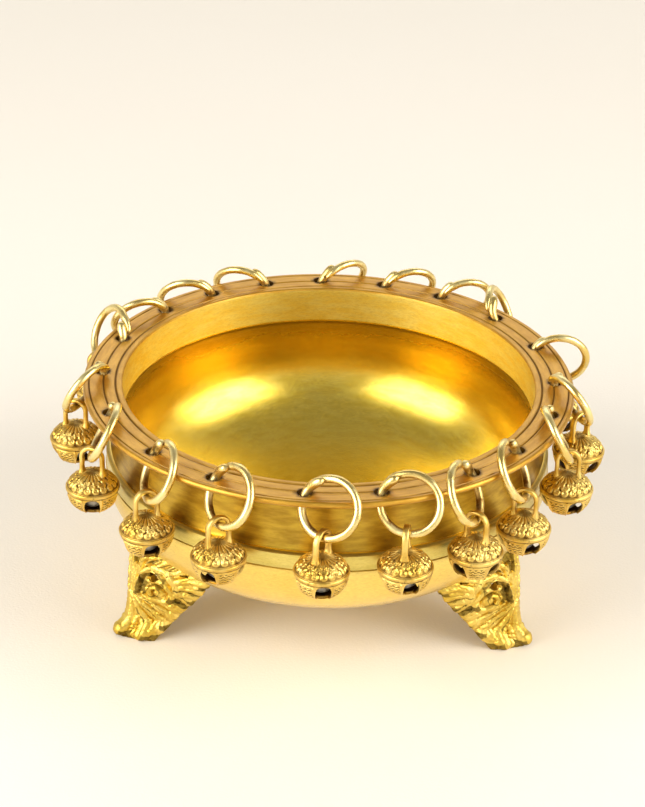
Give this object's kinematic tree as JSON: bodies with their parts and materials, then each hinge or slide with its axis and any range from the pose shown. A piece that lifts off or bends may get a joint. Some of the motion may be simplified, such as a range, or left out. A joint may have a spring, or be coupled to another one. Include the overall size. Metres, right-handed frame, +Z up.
{
  "type": "urli bowl",
  "caption": "Round shallow brass urli bowl with a flat flange rim, cast acanthus-leaf feet, and rings through the rim that carry jingle bells.",
  "frame": {"origin": "on the bowl's axis, at the floor under its three feet", "axes": "+Z up along the bowl's axis, -Y is the front, one foot is at +Y"},
  "size_m": [0.2282, 0.228, 0.1067],
  "materials": {
    "bowl_brass": "lathe turned and lightly polished brass, satin outside and polished inside",
    "cast_brass": "rough cast brass with dark patina in its hollows",
    "wire_brass": "drawn brass wire, polished, with brown patina inside the rings",
    "bell_brass": "cast brass with worn relief and brown patina",
    "pellet_iron": "dull dark iron"
  },
  "bodies": {
    "bowl": {"bowl": "bowl_brass", "foot_1": "cast_brass", "foot_2": "cast_brass", "foot_3": "cast_brass"},
    "ring_01": {"ring_01": "wire_brass"},
    "bell_01": {"bell_01": "bell_brass"},
    "pellet_01": {"pellet_01": "pellet_iron"},
    "ring_02": {"ring_02": "wire_brass"},
    "bell_02": {"bell_02": "bell_brass"},
    "pellet_02": {"pellet_02": "pellet_iron"},
    "ring_03": {"ring_03": "wire_brass"},
    "bell_03": {"bell_03": "bell_brass"},
    "pellet_03": {"pellet_03": "pellet_iron"},
    "ring_04": {"ring_04": "wire_brass"},
    "bell_04": {"bell_04": "bell_brass"},
    "pellet_04": {"pellet_04": "pellet_iron"},
    "ring_05": {"ring_05": "wire_brass"},
    "bell_05": {"bell_05": "bell_brass"},
    "pellet_05": {"pellet_05": "pellet_iron"},
    "ring_06": {"ring_06": "wire_brass"},
    "bell_06": {"bell_06": "bell_brass"},
    "pellet_06": {"pellet_06": "pellet_iron"},
    "ring_07": {"ring_07": "wire_brass"},
    "bell_07": {"bell_07": "bell_brass"},
    "pellet_07": {"pellet_07": "pellet_iron"},
    "ring_08": {"ring_08": "wire_brass"},
    "bell_08": {"bell_08": "bell_brass"},
    "pellet_08": {"pellet_08": "pellet_iron"},
    "ring_09": {"ring_09": "wire_brass"},
    "bell_09": {"bell_09": "bell_brass"},
    "pellet_09": {"pellet_09": "pellet_iron"},
    "ring_10": {"ring_10": "wire_brass"},
    "bell_10": {"bell_10": "bell_brass"},
    "pellet_10": {"pellet_10": "pellet_iron"},
    "ring_11": {"ring_11": "wire_brass"},
    "bell_11": {"bell_11": "bell_brass"},
    "pellet_11": {"pellet_11": "pellet_iron"},
    "ring_12": {"ring_12": "wire_brass"},
    "bell_12": {"bell_12": "bell_brass"},
    "pellet_12": {"pellet_12": "pellet_iron"},
    "ring_13": {"ring_13": "wire_brass"},
    "bell_13": {"bell_13": "bell_brass"},
    "pellet_13": {"pellet_13": "pellet_iron"},
    "ring_14": {"ring_14": "wire_brass"},
    "bell_14": {"bell_14": "bell_brass"},
    "pellet_14": {"pellet_14": "pellet_iron"},
    "ring_15": {"ring_15": "wire_brass"},
    "bell_15": {"bell_15": "bell_brass"},
    "pellet_15": {"pellet_15": "pellet_iron"},
    "ring_16": {"ring_16": "wire_brass"},
    "bell_16": {"bell_16": "bell_brass"},
    "pellet_16": {"pellet_16": "pellet_iron"},
    "ring_17": {"ring_17": "wire_brass"},
    "bell_17": {"bell_17": "bell_brass"},
    "pellet_17": {"pellet_17": "pellet_iron"},
    "ring_18": {"ring_18": "wire_brass"},
    "bell_18": {"bell_18": "bell_brass"},
    "pellet_18": {"pellet_18": "pellet_iron"},
    "ring_19": {"ring_19": "wire_brass"},
    "bell_19": {"bell_19": "bell_brass"}
  },
  "joints": [
    {"name": "ring_01_swivel", "type": "hinge", "parent": "bowl", "child": "ring_01", "pos_m": [-0.00806, -0.09215, 0.0967], "axis": [0, 0, 1], "range_deg": [-60, 0]},
    {"name": "bell_01_swing", "type": "hinge", "parent": "ring_01", "child": "bell_01", "pos_m": [-0.00101, -0.10279, 0.08476], "axis": [-0.8829, 0.4695, 0], "range_deg": [0, 65]},
    {"name": "pellet_01_rattle", "type": "slide", "parent": "bell_01", "child": "pellet_01", "axis": [0, 0, 1], "range_m": [0, 0.003]},
    {"name": "ring_02_swivel", "type": "hinge", "parent": "bowl", "child": "ring_02", "pos_m": [0.02081, -0.09013, 0.0967], "axis": [0, 0, 1], "range_deg": [-44, 0]},
    {"name": "bell_02_swing", "type": "hinge", "parent": "ring_02", "child": "bell_02", "pos_m": [0.03052, -0.09841, 0.08476], "axis": [-0.9781, 0.2079, 0], "range_deg": [0, 65]},
    {"name": "pellet_02_rattle", "type": "slide", "parent": "bell_02", "child": "pellet_02", "axis": [0, 0, 1], "range_m": [0, 0.003]},
    {"name": "ring_03_swivel", "type": "hinge", "parent": "bowl", "child": "ring_03", "pos_m": [0.05567, -0.07387, 0.0967], "axis": [0, 0, 1], "range_deg": [0, 20]},
    {"name": "bell_03_swing", "type": "hinge", "parent": "ring_03", "child": "bell_03", "pos_m": [0.05755, -0.0865, 0.08476], "axis": [-0.342, -0.9397, 0], "range_deg": [-4, 65]},
    {"name": "pellet_03_rattle", "type": "slide", "parent": "bell_03", "child": "pellet_03", "axis": [0, 0, 1], "range_m": [0, 0.003]},
    {"name": "ring_04_swivel", "type": "hinge", "parent": "bowl", "child": "ring_04", "pos_m": [0.07387, -0.05567, 0.0967], "axis": [0, 0, 1], "range_deg": [0, 60]},
    {"name": "bell_04_swing", "type": "hinge", "parent": "ring_04", "child": "bell_04", "pos_m": [0.07706, -0.06803, 0.08476], "axis": [-0.2419, -0.9703, 0], "range_deg": [0, 65]},
    {"name": "pellet_04_rattle", "type": "slide", "parent": "bell_04", "child": "pellet_04", "axis": [0, 0, 1], "range_m": [0, 0.003]},
    {"name": "ring_05_swivel", "type": "hinge", "parent": "bowl", "child": "ring_05", "pos_m": [0.08869, -0.02627, 0.0967], "axis": [0, 0, 1], "range_deg": [0, 45]},
    {"name": "bell_05_swing", "type": "hinge", "parent": "ring_05", "child": "bell_05", "pos_m": [0.09601, -0.03673, 0.08476], "axis": [0.1132, -0.9936, 0], "range_deg": [0, 65]},
    {"name": "pellet_05_rattle", "type": "slide", "parent": "bell_05", "child": "pellet_05", "axis": [0, 0, 1], "range_m": [0, 0.003]},
    {"name": "ring_06_swivel", "type": "hinge", "parent": "bowl", "child": "ring_06", "pos_m": [0.09249, 0.00161, 0.0967], "axis": [0, 0, 1], "range_deg": [-4, 60]},
    {"name": "bell_06_swing", "type": "hinge", "parent": "ring_06", "child": "bell_06", "pos_m": [0.10325, -0.00525, 0.08476], "axis": [0.4848, -0.8746, 0], "range_deg": [0, 65]},
    {"name": "pellet_06_rattle", "type": "slide", "parent": "bell_06", "child": "pellet_06", "axis": [0, 0, 1], "range_m": [0, 0.003]},
    {"name": "ring_07_swivel", "type": "hinge", "parent": "bowl", "child": "ring_07", "pos_m": [0.08636, 0.03315, 0.0967], "axis": [0, 0, 1], "range_deg": [-18, 10]},
    {"name": "bell_07_swing", "type": "hinge", "parent": "ring_07", "child": "bell_07", "pos_m": [0.09654, 0.03674, 0.08066], "axis": [0.9998, 0.0174, 0], "range_deg": [0, 20]},
    {"name": "pellet_07_rattle", "type": "slide", "parent": "bell_07", "child": "pellet_07", "axis": [0, 0, 1], "range_m": [0, 0.003]},
    {"name": "ring_08_swivel", "type": "hinge", "parent": "bowl", "child": "ring_08", "pos_m": [0.07086, 0.05946, 0.0967], "axis": [0, 0, 1], "range_deg": [-50, 0]},
    {"name": "bell_08_swing", "type": "hinge", "parent": "ring_08", "child": "bell_08", "pos_m": [0.0788, 0.06945, 0.08476], "axis": [-0.1736, -0.9848, 0], "range_deg": [-12, 65]},
    {"name": "pellet_08_rattle", "type": "slide", "parent": "bell_08", "child": "pellet_08", "axis": [0, 0, 1], "range_m": [0, 0.003]},
    {"name": "ring_09_swivel", "type": "hinge", "parent": "bowl", "child": "ring_09", "pos_m": [0.04764, 0.07929, 0.0967], "axis": [0, 0, 1], "range_deg": [0, 24]},
    {"name": "bell_09_swing", "type": "hinge", "parent": "ring_09", "child": "bell_09", "pos_m": [0.05758, 0.08653, 0.08428], "axis": [0.9781, 0.2079, 0], "range_deg": [-6, 65]},
    {"name": "pellet_09_rattle", "type": "slide", "parent": "bell_09", "child": "pellet_09", "axis": [0, 0, 1], "range_m": [0, 0.003]},
    {"name": "ring_10_swivel", "type": "hinge", "parent": "bowl", "child": "ring_10", "pos_m": [0.02316, 0.08955, 0.0967], "axis": [0, 0, 1], "range_deg": [-5, 40]},
    {"name": "bell_10_swing", "type": "hinge", "parent": "ring_10", "child": "bell_10", "pos_m": [0.03235, 0.09842, 0.08476], "axis": [0.9636, 0.2672, 0], "range_deg": [0, 65]},
    {"name": "pellet_10_rattle", "type": "slide", "parent": "bell_10", "child": "pellet_10", "axis": [0, 0, 1], "range_m": [0, 0.003]},
    {"name": "ring_11_swivel", "type": "hinge", "parent": "bowl", "child": "ring_11", "pos_m": [-0.00484, 0.09237, 0.0967], "axis": [0, 0, 1], "range_deg": [-5, 20]},
    {"name": "bell_11_swing", "type": "hinge", "parent": "ring_11", "child": "bell_11", "pos_m": [0.00126, 0.10359, 0.08476], "axis": [0.8387, 0.5446, 0], "range_deg": [0, 55]},
    {"name": "pellet_11_rattle", "type": "slide", "parent": "bell_11", "child": "pellet_11", "axis": [0, 0, 1], "range_m": [0, 0.003]},
    {"name": "ring_12_swivel", "type": "hinge", "parent": "bowl", "child": "ring_12", "pos_m": [-0.02858, 0.08797, 0.0967], "axis": [0, 0, 1], "range_deg": [-60, 5]},
    {"name": "bell_12_swing", "type": "hinge", "parent": "ring_12", "child": "bell_12", "pos_m": [-0.0383, 0.09626, 0.08476], "axis": [0.9781, -0.2079, 0], "range_deg": [0, 65]},
    {"name": "pellet_12_rattle", "type": "slide", "parent": "bell_12", "child": "pellet_12", "axis": [0, 0, 1], "range_m": [0, 0.003]},
    {"name": "ring_13_swivel", "type": "hinge", "parent": "bowl", "child": "ring_13", "pos_m": [-0.05173, 0.07669, 0.0967], "axis": [0, 0, 1], "range_deg": [-29, 5]},
    {"name": "bell_13_swing", "type": "hinge", "parent": "ring_13", "child": "bell_13", "pos_m": [-0.06335, 0.08197, 0.08476], "axis": [0.9976, 0.0698, 0], "range_deg": [0, 65]},
    {"name": "pellet_13_rattle", "type": "slide", "parent": "bell_13", "child": "pellet_13", "axis": [0, 0, 1], "range_m": [0, 0.003]},
    {"name": "ring_14_swivel", "type": "hinge", "parent": "bowl", "child": "ring_14", "pos_m": [-0.07086, 0.05946, 0.0967], "axis": [0, 0, 1], "range_deg": [-29, 5]},
    {"name": "bell_14_swing", "type": "hinge", "parent": "ring_14", "child": "bell_14", "pos_m": [-0.08349, 0.06134, 0.08476], "axis": [0.9397, 0.342, 0], "range_deg": [0, 65]},
    {"name": "pellet_14_rattle", "type": "slide", "parent": "bell_14", "child": "pellet_14", "axis": [0, 0, 1], "range_m": [0, 0.003]},
    {"name": "ring_15_swivel", "type": "hinge", "parent": "bowl", "child": "ring_15", "pos_m": [-0.08692, 0.03164, 0.0967], "axis": [0, 0, 1], "range_deg": [0, 20]},
    {"name": "bell_15_swing", "type": "hinge", "parent": "ring_15", "child": "bell_15", "pos_m": [-0.0978, 0.03831, 0.08476], "axis": [-0.5, 0.866, 0], "range_deg": [-12, 50]},
    {"name": "pellet_15_rattle", "type": "slide", "parent": "bell_15", "child": "pellet_15", "axis": [0, 0, 1], "range_m": [0, 0.003]},
    {"name": "ring_16_swivel", "type": "hinge", "parent": "bowl", "child": "ring_16", "pos_m": [-0.09249, 0.00161, 0.0967], "axis": [0, 0, 1], "range_deg": [-60, 5]},
    {"name": "bell_16_swing", "type": "hinge", "parent": "ring_16", "child": "bell_16", "pos_m": [-0.10337, -0.00506, 0.08476], "axis": [0.5, 0.866, 0], "range_deg": [0, 65]},
    {"name": "pellet_16_rattle", "type": "slide", "parent": "bell_16", "child": "pellet_16", "axis": [0, 0, 1], "range_m": [0, 0.003]},
    {"name": "ring_17_swivel", "type": "hinge", "parent": "bowl", "child": "ring_17", "pos_m": [-0.08636, -0.03315, 0.0967], "axis": [0, 0, 1], "range_deg": [-60, 0]},
    {"name": "bell_17_swing", "type": "hinge", "parent": "ring_17", "child": "bell_17", "pos_m": [-0.09283, -0.04415, 0.08476], "axis": [0.0349, 0.9994, 0], "range_deg": [0, 65]},
    {"name": "pellet_17_rattle", "type": "slide", "parent": "bell_17", "child": "pellet_17", "axis": [0, 0, 1], "range_m": [0, 0.003]},
    {"name": "ring_18_swivel", "type": "hinge", "parent": "bowl", "child": "ring_18", "pos_m": [-0.0671, -0.06367, 0.0967], "axis": [0, 0, 1], "range_deg": [-60, 0]},
    {"name": "bell_18_swing", "type": "hinge", "parent": "ring_18", "child": "bell_18", "pos_m": [-0.06886, -0.07632, 0.08476], "axis": [-0.3502, 0.9367, 0], "range_deg": [0, 65]},
    {"name": "pellet_18_rattle", "type": "slide", "parent": "bell_18", "child": "pellet_18", "axis": [0, 0, 1], "range_m": [0, 0.003]},
    {"name": "ring_19_swivel", "type": "hinge", "parent": "bowl", "child": "ring_19", "pos_m": [-0.04271, -0.08205, 0.0967], "axis": [0, 0, 1], "range_deg": [-54, 0]},
    {"name": "bell_19_swing", "type": "hinge", "parent": "ring_19", "child": "bell_19", "pos_m": [-0.04027, -0.09458, 0.08476], "axis": [-0.6361, 0.7716, 0], "range_deg": [0, 65]}
  ]
}
